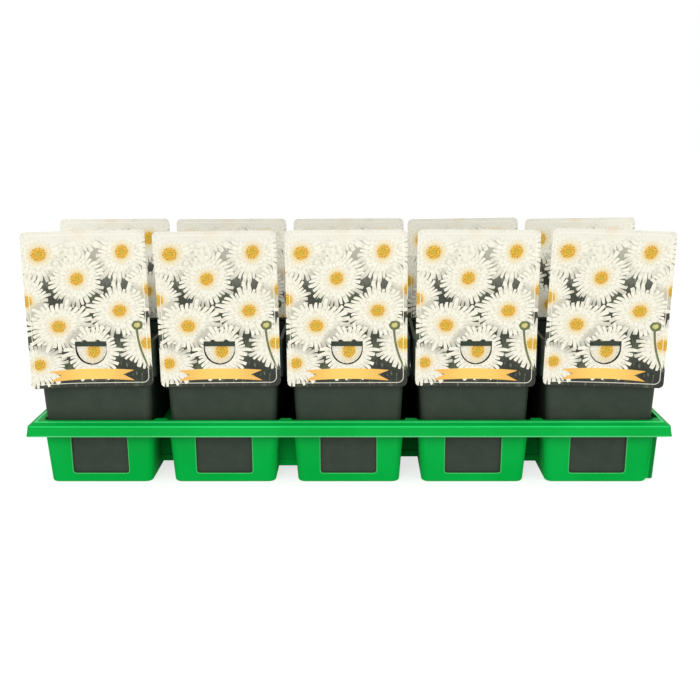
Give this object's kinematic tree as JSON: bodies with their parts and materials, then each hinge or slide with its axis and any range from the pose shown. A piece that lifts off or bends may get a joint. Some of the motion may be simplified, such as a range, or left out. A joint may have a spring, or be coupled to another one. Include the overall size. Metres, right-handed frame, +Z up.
{
  "type": "carry tray with square nursery pots of leucanthemum and picture labels",
  "caption": "Moulded carry tray with square wells, a dark square nursery pot with compost, a young leucanthemum and a large hooked picture label in each.",
  "frame": {"origin": "middle of the tray in plan, at the underside of the wells", "axes": "+X along the tray's length, +Y from the front row of pots to the rear row, +Z up; every label faces -Y"},
  "size_m": [0.5692, 0.2316, 0.2286],
  "materials": {
    "tray": "satin",
    "pot": "matte",
    "soil": "matte",
    "leaf": "satin",
    "label": "satin"
  },
  "bodies": {
    "root": {"tray": "tray", "pot_front_1": "pot", "soil_front_1": "soil", "plant_front_1": "leaf", "label_front_1": "label", "pot_front_2": "pot", "soil_front_2": "soil", "plant_front_2": "leaf", "label_front_2": "label", "pot_front_3": "pot", "soil_front_3": "soil", "plant_front_3": "leaf", "label_front_3": "label", "pot_front_4": "pot", "soil_front_4": "soil", "plant_front_4": "leaf", "label_front_4": "label", "pot_front_5": "pot", "soil_front_5": "soil", "plant_front_5": "leaf", "label_front_5": "label", "pot_rear_1": "pot", "soil_rear_1": "soil", "plant_rear_1": "leaf", "label_rear_1": "label", "pot_rear_2": "pot", "soil_rear_2": "soil", "plant_rear_2": "leaf", "label_rear_2": "label", "pot_rear_3": "pot", "soil_rear_3": "soil", "plant_rear_3": "leaf", "label_rear_3": "label", "pot_rear_4": "pot", "soil_rear_4": "soil", "plant_rear_4": "leaf", "label_rear_4": "label", "pot_rear_5": "pot", "soil_rear_5": "soil", "plant_rear_5": "leaf", "label_rear_5": "label"}
  },
  "joints": []
}
